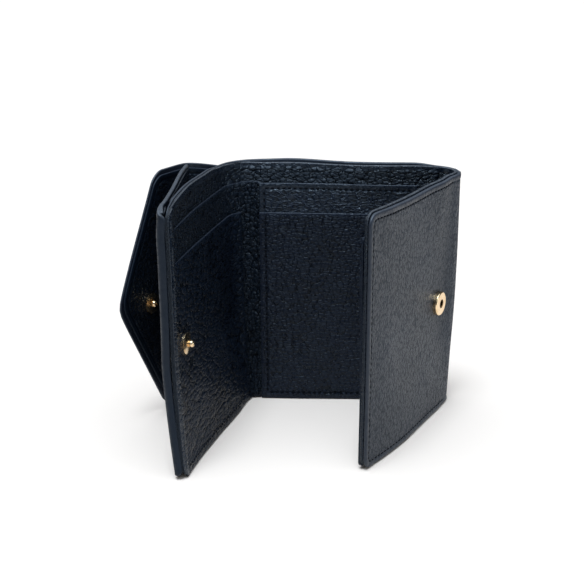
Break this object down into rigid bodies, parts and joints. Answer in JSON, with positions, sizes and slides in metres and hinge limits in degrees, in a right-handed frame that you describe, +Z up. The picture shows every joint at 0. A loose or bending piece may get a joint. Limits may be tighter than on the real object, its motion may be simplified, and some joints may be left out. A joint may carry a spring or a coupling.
{
  "type": "card holder",
  "caption": "Compact trifold leather card holder with stacked card slots, a coin pocket, an envelope flap and snap closures.",
  "frame": {"origin": "halfway along the lower edge of the back panel's outer leather, in the middle of its thickness", "axes": "+Z up along the folds, +X along the back panel towards the front panel's fold, +Y out of the back"},
  "size_m": [0.1221, 0.0755, 0.095],
  "materials": {
    "outer_leather": "pebbled, semi-matt",
    "inner_leather": "pebbled, semi-matt",
    "board": "matt",
    "gold": "polished, pale gold plated",
    "thread": "waxed thread"
  },
  "bodies": {
    "back": {"back_shell": "outer_leather", "back_board": "board", "back_lining": "inner_leather", "back_upper_pocket": "inner_leather", "back_lower_pocket": "inner_leather", "back_stitching": "thread", "front_spine_shell": "outer_leather", "front_spine_lining": "inner_leather", "coin_spine_shell": "outer_leather", "coin_spine_lining": "inner_leather"},
    "front_panel": {"front_shell": "outer_leather", "front_board": "board", "front_lining": "inner_leather", "front_upper_pocket": "inner_leather", "front_lower_pocket": "inner_leather", "front_stitching": "thread", "closing_socket_cap": "gold", "closing_socket_spring": "gold", "closing_socket_washer": "gold"},
    "coin_panel": {"coin_panel_lining": "inner_leather", "coin_upper_pocket": "inner_leather", "coin_lower_pocket": "inner_leather", "coin_panel_board": "board", "coin_pocket_back": "outer_leather", "coin_edge_binding": "outer_leather", "coin_pocket_gusset": "inner_leather", "coin_stitching": "thread", "closing_stud": "gold", "closing_stud_washer": "gold", "flap_web": "outer_leather"},
    "pocket_front": {"coin_pocket_front": "outer_leather", "coin_pocket_front_lining": "inner_leather", "coin_pocket_stitching": "thread", "flap_socket_cap": "gold", "flap_socket_spring": "gold", "flap_socket_washer": "gold"},
    "flap": {"flap_cover": "outer_leather", "flap_lining": "inner_leather", "flap_stitching": "thread", "flap_stud": "gold", "flap_stud_cap": "gold"}
  },
  "joints": [
    {"name": "front_panel_fold", "type": "hinge", "parent": "back", "child": "front_panel", "pos_m": [0.036, -0.0039, 0], "axis": [0, 0, 1], "range_deg": [-63.5, 115.5]},
    {"name": "coin_panel_fold", "type": "hinge", "parent": "back", "child": "coin_panel", "pos_m": [-0.035, -0.0083, 0], "axis": [0, 0, 1], "range_deg": [-78.5, 50]},
    {"name": "coin_pocket_open", "type": "hinge", "parent": "coin_panel", "child": "pocket_front", "pos_m": [-0.05935, -0.07361, 0], "axis": [0, 0, 1], "range_deg": [-7.5, 0]},
    {"name": "flap_fold", "type": "hinge", "parent": "coin_panel", "child": "flap", "pos_m": [-0.05864, -0.00515, 0], "axis": [0, 0, 1], "range_deg": [-130, 26.4]}
  ]
}
